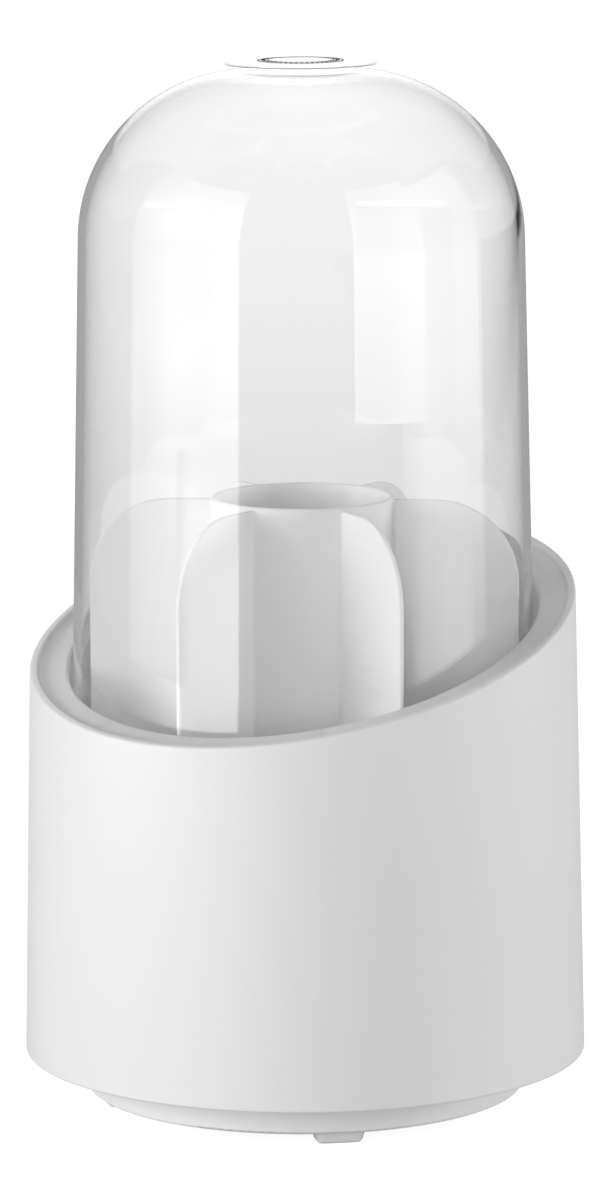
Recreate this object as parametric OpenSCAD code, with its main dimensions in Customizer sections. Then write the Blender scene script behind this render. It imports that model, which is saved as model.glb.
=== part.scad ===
// Rotating brush and make-up organizer: a slant-cut tub on a ball-race turntable,
// with a lift-out divider and a clear dome that covers the divider.
// Millimetres. +Z is up and z = 0 is the table. The rim of the tub rises towards +Y.

/* [Shell] */
// Outside diameter of the tub at its lower edge
shell_d = 135; // [132:1:140]
// Height of the tub's lower edge above the table
shell_z = 12.1; // [11.8:0.1:12.9]
// Draft of the tub's outer wall in degrees
shell_draft = 1.25; // [0.8:0.05:1.5]
// Thickness of the tub's outer wall
shell_wall = 2; // [1.8:0.1:2.2]
// Height of the slanted rim on the axis
rim_mid_z = 115.2; // [108:0.1:120]
// Slope of the rim in degrees
rim_slope = 15.7; // [12:0.1:18]

/* [Liner] */
// Depth of the slanted ledge below the rim
ledge_drop = 1.5; // [1:0.1:2.5]
// Radius of the well at its lip
well_r = 56.3; // [55.9:0.1:57]
// Height of the step that the dome stands on
step_z = 76.7; // [70:0.1:82]
// Radius of the lower well, which the divider stands in
lower_well_r = 53.2; // [52.8:0.1:53.4]
// Underside of the well's floor
well_floor_z = 24.7; // [24.2:0.1:27]
// Wall thickness of the liner
liner_wall = 1.8; // [1.5:0.1:2]

/* [Divider] */
// Height of the divider's tube above the table
divider_top_z = 146.5; // [130:0.1:150]
// Outer radius of the middle tube
tube_r = 21.7; // [19:0.1:24]
// Radius that the fins reach
fin_r = 51.6; // [50:0.1:52]
// Radius of the fins' rounded top corners
fin_corner_r = 20; // [12:1:24]
// Number of fins around the tube
fin_count = 6; // [4:1:8]
// Thickness of a fin and of the tube's wall
fin_t = 1.2; // [1:0.1:2]
// Turn of the divider in the tub, in degrees
divider_turn = 26.9; // [0:0.1:60]

/* [Dome] */
// Outside radius of the dome where its wall meets the shoulder
dome_r = 52.9; // [52.5:0.1:53.2]
// Height at which the shoulder starts
shoulder_z = 208.7; // [195:0.1:215]
// Radius of the shoulder
shoulder_r = 39.8; // [30:0.1:44]
// Draft of the dome's wall in degrees
dome_draft = 1.25; // [1:0.05:1.35]
// Wall thickness of the dome
dome_wall = 1.7; // [1.5:0.1:1.9]
// Radius of the shallow crown disc on top of the dome
crown_r = 18.5; // [14:0.5:22]
// Height of the crown disc's edge above the shoulder's top
crown_edge_h = 1.8; // [1:0.1:2.5]
// Rise of the crown disc from its edge to its middle
crown_rise = 0.9; // [0.5:0.1:1.2]

/* [Turntable] */
// Radius of the foot
foot_r = 52.6; // [50:0.1:53]
// Height of the pads under the foot
pad_h = 3.2; // [2:0.1:3.5]
// Length of a pad around the axis
pad_l = 12.4; // [10:0.1:13]
// Width of a pad towards the axis
pad_w = 8.2; // [7:0.1:8.5]
// Turn of the foot under the tub, in degrees
foot_turn = -4.4; // [-45:0.1:45]
// Diameter of a bearing ball
ball_d = 5; // [4.8:0.1:5.2]
// Radius of the ring that the balls run on
race_r = 38; // [36:0.5:39]

/* [Hidden] */

$fn = 96;
eps = 0.01;
far = 90;                                  // reach of a cutting block, past every wall

// Levels, from the table up
deck_z = 13.3;                             // top of the foot's deck
plate_z = 15.2;                            // underside of the floor plate
plate_t = 2.5;
plate_top_z = plate_z + plate_t;
ball_z = (deck_z + plate_z) / 2;           // the balls' centres lie midway in the gap
well_floor_t = 2;
well_bottom_z = well_floor_z + well_floor_t;
hub_bottom_z = pad_h + 2;                  // underside of the foot's hub and ribs
rim_from_z = 60;                           // the slanted rim lies between these two levels
rim_to_z = 150;

// Turntable
ball_count = 16;                           // one node each
race_clearance = 0.15;                     // between a ball and each groove
groove_r = ball_d / 2 + race_clearance;
race_band = 4.6;                           // half width of the thick band behind a groove
race_drop = 1.2;                           // how far that band hangs below the deck
deck_t = 2.4;
foot_wall = 2;
dust_lip_h = 1;                            // the foot's wall stands above its deck
rib_t = 1.6;
rib_count = 8;
post_r = 5;                                // pivot post of the foot
post_clearance = 0.06;
post_top_z = 18.9;
hub_r = 10;
hub_top_z = post_top_z - 0.2;              // the washer keeps this much end play
washer_r = 9;
washer_t = 1;
pad_count = 4;
pad_recess = 0.6;                          // how far a pad sits in the foot
pad_corner_r = 2.4;
pad_taper = 0.7;                           // a pad narrows by this on every side, down to its edge
pad_edge = 0.5;                            // chamfer round the underside
pad_boss_wall = 1.4;
pad_ring_r = foot_r - foot_wall - 1 - pad_w / 2;
cage_t = 1;
cage_half_w = 5;
cage_pocket_r = ball_d / 2 + 0.2;
cage_notch_r = 2.2;

// Screws that hold the floor plate to the liner
floor_screw_count = 4;
floor_screw_ring_r = 60;
floor_screw_core_r = 1.25;
screw_boss_r = 3.4;
screw_boss_h = 28;
pivot_screw_core_r = 1.45;
screw_slack = 0.05;                        // between a screw's core and its hole

// Slanted rim
flange_t = 2;                              // thickness of the liner's slanted flange
seat_t = 1.5;                              // ring inside the shell that carries the flange
seat_w = 1.6;
flange_gap = 0.15;                         // between the flange and the shell's wall
skirt_h = 6;
skirt_t = 1.5;
edge_r = 0.8;                              // small rounding on moulded edges
plate_seat_w = 1.8;                        // ring in the shell that the floor plate seats against
plate_seat_h = 1.6;

// Dome
shoulder_x = dome_r - shoulder_r * cos(dome_draft);     // centre of the shoulder's arc
shoulder_y = shoulder_z - shoulder_r * sin(dome_draft);
dome_top_z = shoulder_y + shoulder_r;
crown_sphere_r = (crown_r * crown_r + crown_rise * crown_rise) / (2 * crown_rise);

// Outside radius of the shell at height z
function shell_r(z) = shell_d / 2 - (z - shell_z) * tan(shell_draft);
// Inside radius of the shell at height z
function shell_in_r(z) = shell_r(z) - shell_wall;

// ---------- Shared shapes ----------

// Slab parallel to the rim, from drop_top to drop_bottom below it
module slant_slab(drop_top, drop_bottom) {
    translate([0, 0, rim_mid_z]) rotate([rim_slope, 0, 0])
        translate([-far, -far, -drop_bottom]) cube([2 * far, 2 * far, drop_bottom - drop_top]);
}

// Everything above a plane that lies drop below the rim
module above_rim(drop) {
    slant_slab(drop - far, drop);
}

// Solid cone with the slope of the shell's wall, gap inside its inner face
module inside_shell(gap, z0, z1) {
    translate([0, 0, z0])
        cylinder(h = z1 - z0, r1 = shell_in_r(z0) - gap, r2 = shell_in_r(z1) - gap);
}

// Ring cut by a ball's path: a torus about the axis
module ball_groove() {
    rotate_extrude() translate([race_r, ball_z]) circle(r = groove_r, $fn = 32);
}

// Copies of the children around the axis
module around(count, turn = 0) {
    for (i = [0 : count - 1]) rotate([0, 0, turn + i * 360 / count]) children();
}

// Radial rib from r0 to r1 and from z0 to z1
module radial_rib(r0, r1, z0, z1) {
    translate([r0, -rib_t / 2, z0]) cube([r1 - r0, rib_t, z1 - z0]);
}

// Cross-shaped driver recess, cut down from the top of a screw's head
module cross_recess(width, depth) {
    for (a = [0, 90]) rotate([0, 0, a])
        translate([-width / 2, -width / 8, -depth]) cube([width, width / 4, depth + 1]);
}

// Pan-head screw, head up, with the underside of its head at z = 0
module pan_screw(core_r, length, head_r, head_h) {
    difference() {
        rotate_extrude() {
            translate([0, -length + core_r]) square([core_r, length - core_r + eps]);
            polygon([[0, -length], [core_r * 0.35, -length], [core_r, -length + core_r],
                [0, -length + core_r]]);
            intersection() {
                square([head_r, head_h]);
                translate([0, head_h - head_r * 1.6]) circle(r = head_r * 1.6, $fn = 64);
            }
        }
        translate([0, 0, head_h]) cross_recess(head_r * 1.1, head_h * 0.55);
    }
}

// ---------- Foot and turntable ----------

module turntable_foot() {
    color("whitesmoke") difference() {
        union() {
            rotate_extrude() foot_profile();
            around(rib_count, 22.5)
                radial_rib(hub_r - 2, foot_r - foot_wall / 2, hub_bottom_z, deck_z - deck_t / 2);
            at_pads() translate([0, 0, pad_h + 0.3])
                linear_extrude(height = deck_z - deck_t / 2 - pad_h) pad_outline(pad_boss_wall);
        }
        ball_groove();
        at_pads() translate([0, 0, pad_h - 1])
            linear_extrude(height = pad_recess + 1) pad_outline(0.1);
        translate([0, 0, pad_h + 4])
            cylinder(h = post_top_z, r = pivot_screw_core_r + screw_slack);
    }
}

// Half section of the foot: wall with a raised dust lip, deck, race band, hub and pivot post
module foot_profile() {
    translate([foot_r - foot_wall, pad_h + edge_r]) square([foot_wall, deck_z + dust_lip_h - pad_h - edge_r]);
    translate([foot_r - foot_wall, pad_h]) square([foot_wall - edge_r, edge_r + eps]);
    translate([foot_r - edge_r, pad_h + edge_r]) circle(r = edge_r, $fn = 32);
    translate([0, deck_z - deck_t]) square([foot_r - 1, deck_t]);
    translate([race_r - race_band, deck_z - deck_t - race_drop]) square([2 * race_band, deck_t]);
    translate([0, hub_bottom_z]) square([hub_r - 1, deck_z - hub_bottom_z]);
    post_section();
}

// Pivot post with a small lead-in at its top
module post_section() {
    lead = 0.6;
    translate([0, hub_bottom_z]) square([post_r, post_top_z - hub_bottom_z - lead]);
    polygon([[0, post_top_z - lead - eps], [post_r, post_top_z - lead - eps],
        [post_r, post_top_z - lead], [post_r - lead, post_top_z], [0, post_top_z]]);
}

// Copies of the children at the pads, with their X axis pointing away from the turning axis
module at_pads() {
    rotate([0, 0, foot_turn]) around(pad_count, 45) translate([pad_ring_r, 0, 0]) children();
}

// Outline of a pad: a rectangle with round corners, grown by grow on every side
module pad_outline(grow) {
    offset(r = pad_corner_r + grow, $fn = 48)
        square([pad_w - 2 * pad_corner_r, pad_l - 2 * pad_corner_r], center = true);
}

// Pad that narrows towards the table, with a chamfered underside
module foot_pad(i) {
    color("lightgray") rotate([0, 0, foot_turn + 45 + (i - 1) * 360 / pad_count])
        translate([pad_ring_r, 0, 0]) {
            hull() {
                linear_extrude(height = eps) pad_outline(-pad_taper - pad_edge);
                translate([0, 0, pad_edge]) linear_extrude(height = eps) pad_outline(-pad_taper);
                translate([0, 0, pad_h]) linear_extrude(height = pad_recess) pad_outline(0);
            }
        }
}

module pivot_screw() {
    color("silver") translate([0, 0, post_top_z + washer_t])
        pan_screw(pivot_screw_core_r, post_top_z + washer_t - pad_h - 5, 4, 2.4);
}

module pivot_washer() {
    color("silver") translate([0, 0, post_top_z]) difference() {
        cylinder(h = washer_t, r = washer_r);
        translate([0, 0, -1]) cylinder(h = washer_t + 2, r = pivot_screw_core_r + 0.25);
    }
}

module ball_cage() {
    color("gainsboro") difference() {
        translate([0, 0, ball_z - cage_t / 2]) rotate_extrude()
            translate([race_r - cage_half_w, 0]) square([2 * cage_half_w, cage_t]);
        around(ball_count) translate([race_r, 0, ball_z - cage_t])
            cylinder(h = 2 * cage_t, r = cage_pocket_r, $fn = 32);
        around(ball_count, 180 / ball_count) for (side = [-1, 1])
            translate([race_r + side * (cage_half_w + 0.4), 0, ball_z - cage_t])
                cylinder(h = 2 * cage_t, r = cage_notch_r, $fn = 32);
    }
}

module ball(i) {
    color("silver") rotate([0, 0, (i - 1) * 360 / ball_count])
        translate([race_r, 0, ball_z]) sphere(d = ball_d, $fn = 32);
}

module floor_plate() {
    color("whitesmoke") difference() {
        union() {
            rotate_extrude() plate_profile();
            around(rib_count, 22.5) radial_rib(hub_r - 1, 58, plate_z + 1, plate_top_z + 2);
        }
        ball_groove();
        translate([0, 0, plate_z - 1]) cylinder(h = 10, r = post_r + post_clearance);
        around(floor_screw_count, 45) translate([floor_screw_ring_r, 0, plate_z - 1])
            cylinder(h = plate_t + 2, r = floor_screw_core_r + 0.35, $fn = 32);
    }
}

// Half section of the floor plate: disc, thick race band and hub
module plate_profile() {
    translate([0, plate_z]) square([shell_in_r(plate_z) - 0.3, plate_t]);
    translate([race_r - race_band, plate_z + 1]) square([2 * race_band, plate_t + 0.5]);
    translate([0, plate_z + 1]) square([hub_r, hub_top_z - plate_z - 1]);
}

module floor_screws() {
    color("silver") around(floor_screw_count, 45) translate([floor_screw_ring_r, 0, plate_z])
        rotate([180, 0, 0]) pan_screw(floor_screw_core_r, 12, 2.7, 1.5);
}

// ---------- Tub ----------

module outer_shell() {
    color("white") difference() {
        union() {
            rotate_extrude() shell_profile();
            intersection() {
                slant_slab(ledge_drop + flange_t, ledge_drop + flange_t + seat_t);
                difference() {
                    inside_shell(-shell_wall / 2, rim_from_z, rim_to_z);
                    inside_shell(seat_w, rim_from_z - 1, rim_to_z + 1);
                }
            }
        }
        above_rim(0);
    }
}

// Half section of the shell before its rim is cut: drafted wall, round lower edge, plate seat
module shell_profile() {
    wall_z = shell_z + edge_r;
    polygon([
        [shell_in_r(wall_z), wall_z], [shell_r(wall_z), wall_z],
        [shell_r(rim_to_z), rim_to_z], [shell_in_r(rim_to_z), rim_to_z]
    ]);
    translate([shell_in_r(wall_z), shell_z]) square([shell_wall - edge_r, edge_r + eps]);
    translate([shell_r(wall_z) - edge_r, wall_z]) circle(r = edge_r, $fn = 32);
    translate([shell_in_r(plate_top_z) - plate_seat_w, plate_top_z])
        square([plate_seat_w + shell_wall / 2, plate_seat_h]);
}

module well_liner() {
    color("white") {
        difference() {
            union() {
                rotate_extrude() liner_profile();
                liner_flange();
            }
            above_rim(ledge_drop);
            translate([0, 0, step_z]) cylinder(h = far, r = well_r);
        }
        around(floor_screw_count, 45) liner_boss();
    }
}

// Half section of the well before its lip is cut: floor, lower wall, step and upper wall
module liner_profile() {
    translate([0, well_floor_z]) square([lower_well_r + liner_wall, well_floor_t]);
    translate([lower_well_r, well_floor_z]) square([liner_wall, step_z - well_floor_z]);
    translate([lower_well_r, step_z - liner_wall])
        square([well_r + liner_wall - lower_well_r, liner_wall]);
    translate([well_r, step_z - liner_wall]) square([liner_wall, rim_to_z - step_z]);
}

// Slanted flange between the well and the shell, with a short skirt against the shell's wall
module liner_flange() {
    intersection() {
        slant_slab(ledge_drop, ledge_drop + flange_t);
        difference() {
            inside_shell(flange_gap, rim_from_z, rim_to_z);
            translate([0, 0, step_z - 1]) cylinder(h = far, r = well_r + liner_wall / 2);
        }
    }
    intersection() {
        slant_slab(ledge_drop + eps, ledge_drop + flange_t + skirt_h);
        difference() {
            inside_shell(seat_w + flange_gap, rim_from_z, rim_to_z);
            inside_shell(seat_w + flange_gap + skirt_t, rim_from_z - 1, rim_to_z + 1);
        }
    }
}

// Screw boss beside the lower well, tied to its wall by a web
module liner_boss() {
    difference() {
        union() {
            translate([floor_screw_ring_r, 0, plate_top_z]) cylinder(h = screw_boss_h, r = screw_boss_r, $fn = 48);
            radial_rib(lower_well_r + liner_wall / 2, floor_screw_ring_r - 1,
                well_floor_z, plate_top_z + screw_boss_h);
        }
        translate([floor_screw_ring_r, 0, plate_top_z - 1])
            cylinder(h = 14, r = floor_screw_core_r + screw_slack, $fn = 32);
    }
}

// ---------- Divider ----------

module divider_insert() {
    base_t = 2;
    foot_ring_h = 0.6;
    base_z = well_bottom_z + foot_ring_h;
    color("white") difference() {
        union() {
            translate([0, 0, base_z]) cylinder(h = base_t, r = fin_r);
            translate([0, 0, well_bottom_z]) rotate_extrude()
                translate([fin_r - 5, 0]) square([2, foot_ring_h + eps]);
            translate([0, 0, base_z]) cylinder(h = divider_top_z - base_z, r = tube_r);
            around(fin_count, divider_turn) rotate([90, 0, 0])
                translate([0, 0, -fin_t / 2]) linear_extrude(height = fin_t) fin_profile(base_z);
        }
        translate([0, 0, base_z + base_t]) cylinder(h = divider_top_z, r = tube_r - fin_t);
    }
}

// Outline of a fin: straight from the tube, with a large round at its outer top corner
module fin_profile(base_z) {
    fin_top_z = divider_top_z - 0.8;
    arc_x = fin_r - fin_corner_r;
    arc_z = fin_top_z - fin_corner_r;
    translate([tube_r - fin_t / 2, base_z]) square([fin_r - tube_r + fin_t / 2, arc_z - base_z]);
    translate([tube_r - fin_t / 2, base_z]) square([arc_x - tube_r + fin_t / 2, fin_top_z - base_z]);
    translate([arc_x, arc_z]) circle(r = fin_corner_r);
}

// ---------- Dome ----------

module dome_cover() {
    color("aliceblue", 0.3) rotate_extrude() difference() {
        union() {
            dome_section(0, step_z);
            crown_section();
        }
        dome_section(dome_wall, step_z - 1);
    }
}

// Half section of the dome as a filled shape, inset from its outside
module dome_section(inset, bottom_z) {
    arc_r = shoulder_r - inset;
    join_x = shoulder_x + arc_r * cos(dome_draft);
    join_z = shoulder_y + arc_r * sin(dome_draft);
    polygon([
        [0, bottom_z], [join_x + (join_z - bottom_z) * tan(dome_draft), bottom_z],
        [join_x, join_z], [shoulder_x, shoulder_y], [0, shoulder_y]
    ]);
    intersection() {
        translate([shoulder_x, shoulder_y]) circle(r = arc_r, $fn = 128);
        translate([shoulder_x, shoulder_y]) square([shoulder_r + 1, shoulder_r + 1]);
    }
    translate([0, shoulder_y - eps]) square([shoulder_x + eps, arc_r + eps]);
}

// Half section of the shallow crown disc on the dome's top
module crown_section() {
    sphere_z = dome_top_z + crown_edge_h + crown_rise - crown_sphere_r;
    intersection() {
        translate([0, dome_top_z - 4]) square([crown_r, 10]);
        translate([0, sphere_z]) circle(r = crown_sphere_r, $fn = 256);
    }
}

turntable_foot();
foot_pad(1);  // foot_pad_1
foot_pad(2);  // foot_pad_2
foot_pad(3);  // foot_pad_3
foot_pad(4);  // foot_pad_4
pivot_screw();
pivot_washer();
ball_cage();
ball(1);  // ball_01
ball(2);  // ball_02
ball(3);  // ball_03
ball(4);  // ball_04
ball(5);  // ball_05
ball(6);  // ball_06
ball(7);  // ball_07
ball(8);  // ball_08
ball(9);  // ball_09
ball(10);  // ball_10
ball(11);  // ball_11
ball(12);  // ball_12
ball(13);  // ball_13
ball(14);  // ball_14
ball(15);  // ball_15
ball(16);  // ball_16
floor_plate();
floor_screws();
outer_shell();
well_liner();
divider_insert();
dome_cover();
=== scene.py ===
"""Rotating brush organizer with a slant-cut tub, a finned divider and a clear dome: looks and finishes."""
import math

import bmesh
import bpy
from mathutils import Matrix, Vector


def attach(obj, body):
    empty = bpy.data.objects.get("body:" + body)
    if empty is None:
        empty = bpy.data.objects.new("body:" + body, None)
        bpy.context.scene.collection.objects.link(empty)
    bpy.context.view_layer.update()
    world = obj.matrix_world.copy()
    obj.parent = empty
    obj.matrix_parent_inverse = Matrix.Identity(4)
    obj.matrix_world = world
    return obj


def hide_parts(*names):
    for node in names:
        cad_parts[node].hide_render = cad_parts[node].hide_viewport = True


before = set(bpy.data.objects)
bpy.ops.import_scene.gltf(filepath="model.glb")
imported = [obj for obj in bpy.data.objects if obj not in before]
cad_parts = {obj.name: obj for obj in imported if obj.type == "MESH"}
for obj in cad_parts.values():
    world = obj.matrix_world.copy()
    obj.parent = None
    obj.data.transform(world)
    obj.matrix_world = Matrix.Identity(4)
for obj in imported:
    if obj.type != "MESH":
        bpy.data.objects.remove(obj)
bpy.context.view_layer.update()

# ---------------------------------------------------------------- sizes, in millimetres

MM = 0.001                   # one millimetre in the scene's metres
EPS = 0.01                   # a hair: overlaps and comparisons

SHELL_FOOT_R = 67.5          # outside radius of the tub at its lower edge
SHELL_Z = 12.1               # height of that edge
SHELL_DRAFT = math.radians(1.25)
SHELL_WALL = 2.0
RIM_Z = 115.2                # the slanted rim's height on the axis
RIM_SLOPE = math.radians(15.7)
ABOVE_RIM_Z = 150.0          # higher than the rim's high side: walls are drawn up to here and then cut
LEDGE_DROP = 1.5             # the ledge lies this far below the rim
LEDGE_T = 2.0
WELL_R = 56.3                # inside radius of the well
STEP_Z = 76.7                # height of the step in it, on which the dome stands
LOWER_WELL_R = 53.2          # inside radius below the step
WELL_FLOOR_Z = 26.7
LINER_WALL = 1.8
TUBE_R = 21.7                # outside radius of the divider's middle tube
TUBE_TOP_Z = 146.5
FIN_R = 51.6                 # reach of the fins, from the axis
FIN_CORNER_R = 20.0
FIN_T = 1.2
FIN_COUNT = 6
FIN_DROP = 0.8               # the fins end this far below the tube's rim
DIVIDER_TURN = math.radians(26.9)
DIVIDER_BASE_Z = 27.3
DIVIDER_BASE_T = 2.0
FIN_FOOT_Z = DIVIDER_BASE_Z + DIVIDER_BASE_T / 2
DOME_R = 52.9                # outside radius of the dome where its shoulder begins
SHOULDER_Z = 208.7           # height of that place
SHOULDER_R = 39.8
DOME_DRAFT = math.radians(1.25)
DOME_TOP_Z = SHOULDER_Z + SHOULDER_R * (1 - math.sin(DOME_DRAFT))
DOME_WALL = 1.7
DOME_FOOT_Z = STEP_Z + 0.8   # the dome's wall ends here, in a rounded edge
CROWN_R = 18.5
CROWN_EDGE_H = 1.8
CROWN_RISE = 0.9             # the crown's middle over its edge
CROWN_SHADE_LINE_Z = 249.45        # height of the painted dark line round the crown's upper edge: painted shade of its clear edge
CROWN_SHADE_LINE_HALF = 0.11
TINT_Z = (149.7, 205.7)      # the dome is greyest below the first height and clearest above the second

VIEW_TURN = math.radians(30.9)   # the camera stands this far round from the low side of the rim
FINE = 192                       # steps round a large visible curve


def shell_r(z):
    """Outside radius of the tub's drafted wall at height z."""
    return SHELL_FOOT_R - (z - SHELL_Z) * math.tan(SHELL_DRAFT)


# ---------------------------------------------------------------- modelling helpers

def point(r, z):
    """A point of a half outline, in metres."""
    return Vector((r * MM, 0.0, z * MM))


def arc(cr, cz, radius, start, end, steps):
    """Points of an arc in a half outline, in millimetres; the angles are in degrees from +r."""
    turns = [math.radians(start + (end - start) * i / steps) for i in range(steps + 1)]
    return [(cr + radius * math.cos(t), cz + radius * math.sin(t)) for t in turns]


def select_only(piece):
    """Makes one piece the active one, with nothing else selected."""
    bpy.ops.object.select_all(action="DESELECT")
    bpy.context.view_layer.objects.active = piece
    piece.select_set(True)


def edit(piece):
    """Opens one piece in edit mode with everything deselected."""
    select_only(piece)
    bpy.ops.object.mode_set(mode="EDIT")
    bpy.ops.mesh.select_all(action="DESELECT")


def done():
    """Leaves edit mode."""
    bpy.ops.object.mode_set(mode="OBJECT")


def pick_edges(piece, wanted):
    """Selects the edges for which wanted(edge) is true; the piece is in edit mode."""
    bpy.ops.mesh.select_mode(type="EDGE")
    mesh = bmesh.from_edit_mesh(piece.data)
    for edge in mesh.edges:
        edge.select_set(bool(wanted(edge)))
    mesh.select_flush_mode()
    bmesh.update_edit_mesh(piece.data)


def chain(name, outline, place=point):
    """A chain of edges along an outline of (r, z) points, drawn by pulling one point along it."""
    bpy.ops.object.select_all(action="DESELECT")
    bpy.ops.mesh.primitive_plane_add(size=MM, location=(0, 0, 0))
    piece = bpy.context.object
    piece.name = piece.data.name = name
    bpy.ops.object.mode_set(mode="EDIT")
    bpy.ops.mesh.select_mode(type="VERT")
    bpy.ops.mesh.select_all(action="SELECT")
    bpy.ops.mesh.merge(type="CENTER")
    here = place(*outline[0])
    bpy.ops.transform.translate(value=here)
    for r, z in outline[1:]:
        there = place(r, z)
        bpy.ops.mesh.extrude_region_move(TRANSFORM_OT_translate={"value": there - here})
        here = there
    return piece


def turned(name, outline, steps=FINE):
    """A turned piece: the half outline is spun about the axis, and its seam and poles are closed."""
    piece = chain(name, outline)
    bpy.ops.mesh.select_all(action="SELECT")
    bpy.ops.mesh.spin(steps=steps, angle=2 * math.pi, center=(0, 0, 0), axis=(0, 0, 1))
    close_up()
    done()
    return piece


def pull_out(move):
    """Fills the outline that chain has drawn and pulls it out by move; the piece is in edit mode."""
    bpy.ops.mesh.select_all(action="SELECT")
    bpy.ops.mesh.edge_face_add()
    bpy.ops.mesh.select_all(action="SELECT")
    bpy.ops.mesh.extrude_region_move(TRANSFORM_OT_translate={"value": move})


def close_up():
    """Merges doubled points and turns every face outwards; the piece is in edit mode."""
    bpy.ops.mesh.select_all(action="SELECT")
    bpy.ops.mesh.remove_doubles(threshold=0.002 * MM)
    bpy.ops.mesh.normals_make_consistent(inside=False)
    bpy.ops.mesh.select_all(action="DESELECT")


def rim_plane(drop):
    """A point on the plane that lies drop below the rim, and the plane's normal."""
    normal = Vector((0, -math.sin(RIM_SLOPE), math.cos(RIM_SLOPE)))
    return Vector((0, 0, RIM_Z * MM)) - normal * drop * MM, normal


def cut_slanted(piece, drop, keep_below=True):
    """Cuts a double-walled turned piece along a plane parallel to the rim and closes the cut."""
    place, normal = rim_plane(drop)
    edit(piece)
    bpy.ops.mesh.select_all(action="SELECT")
    bpy.ops.mesh.bisect(plane_co=place, plane_no=normal, clear_outer=keep_below,
                        clear_inner=not keep_below)
    bpy.ops.mesh.select_mode(type="EDGE")
    bpy.ops.mesh.select_all(action="DESELECT")
    pick_edges(piece, lambda e: e.is_boundary)
    bpy.ops.mesh.bridge_edge_loops()
    close_up()
    done()


def round_edges(piece, width, steps, wanted):
    """Rounds the edges for which wanted(edge) is true."""
    edit(piece)
    pick_edges(piece, wanted)
    bpy.ops.mesh.bevel(offset=width * MM, segments=steps, affect="EDGES", clamp_overlap=True)
    bpy.ops.mesh.select_all(action="DESELECT")
    done()


def sharp(edge, degrees=30):
    """True where the two faces of an edge meet at more than this angle."""
    return len(edge.link_faces) == 2 and edge.calc_face_angle(0) > math.radians(degrees)


def on_plane(edge, drop, slack=0.05):
    """True where both ends of an edge lie on the plane drop below the rim."""
    place, normal = rim_plane(drop)
    return all(abs((v.co - place).dot(normal)) < slack * MM for v in edge.verts)


def smooth(piece, degrees=35):
    """Smooth shading that keeps the edges sharper than this angle."""
    select_only(piece)
    bpy.ops.object.shade_smooth_by_angle(angle=math.radians(degrees))


def join_solid(piece, other):
    """Unites another solid with this one."""
    union = piece.modifiers.new("union", "BOOLEAN")
    union.operation = "UNION"
    union.solver = "EXACT"
    union.object = other
    select_only(piece)
    bpy.ops.object.modifier_apply(modifier=union.name)
    bpy.data.objects.remove(other)


def finish_piece(piece, material, body, slot, *nodes):
    """Gives a piece its material and says what it rides on and stands for."""
    piece.data.materials.clear()
    piece.data.materials.append(material)
    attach(piece, body)
    if nodes:
        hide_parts(*nodes)


# ---------------------------------------------------------------- finishes

GRAIN_SCALE = 900.0          # fineness of the moulded parts' orange peel
PLASTIC_IOR = 1.49


def new_material(name):
    """A new material, its tree and its Principled shader."""
    material = bpy.data.materials.new(name)
    material.use_nodes = True
    tree = material.node_tree
    shader = tree.nodes["Principled BSDF"]
    return material, tree, shader


def feed(tree, socket, value):
    """Gives a socket a number, or links another socket to it."""
    if isinstance(value, (int, float)):
        socket.default_value = value
    else:
        tree.links.new(value, socket)


def math_node(tree, operation, first, second):
    """A Math node; each operand is a socket or a number."""
    node = tree.nodes.new("ShaderNodeMath")
    node.operation = operation
    feed(tree, node.inputs[0], first)
    feed(tree, node.inputs[1], second)
    return node.outputs[0]


def map_range(tree, value, start, end, low=0.0, high=1.0):
    """Takes value from start..end to low..high, and holds it there."""
    node = tree.nodes.new("ShaderNodeMapRange")
    for label, number in (("From Min", start), ("From Max", end), ("To Min", low), ("To Max", high)):
        node.inputs[label].default_value = number
    tree.links.new(value, node.inputs["Value"])
    return node.outputs["Result"]


def object_place(tree):
    """The place on the piece, in metres."""
    return tree.nodes.new("ShaderNodeTexCoord").outputs["Object"]


def object_z(tree):
    """The height on the piece, in metres."""
    split = tree.nodes.new("ShaderNodeSeparateXYZ")
    tree.links.new(object_place(tree), split.inputs["Vector"])
    return split.outputs["Z"]


def noise(tree, scale, detail=2):
    """Noise that stays with the piece; scale is a socket or a number."""
    node = tree.nodes.new("ShaderNodeTexNoise")
    feed(tree, node.inputs["Scale"], scale)
    node.inputs["Detail"].default_value = detail
    tree.links.new(object_place(tree), node.inputs["Vector"])
    return node.outputs["Fac"]


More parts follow.
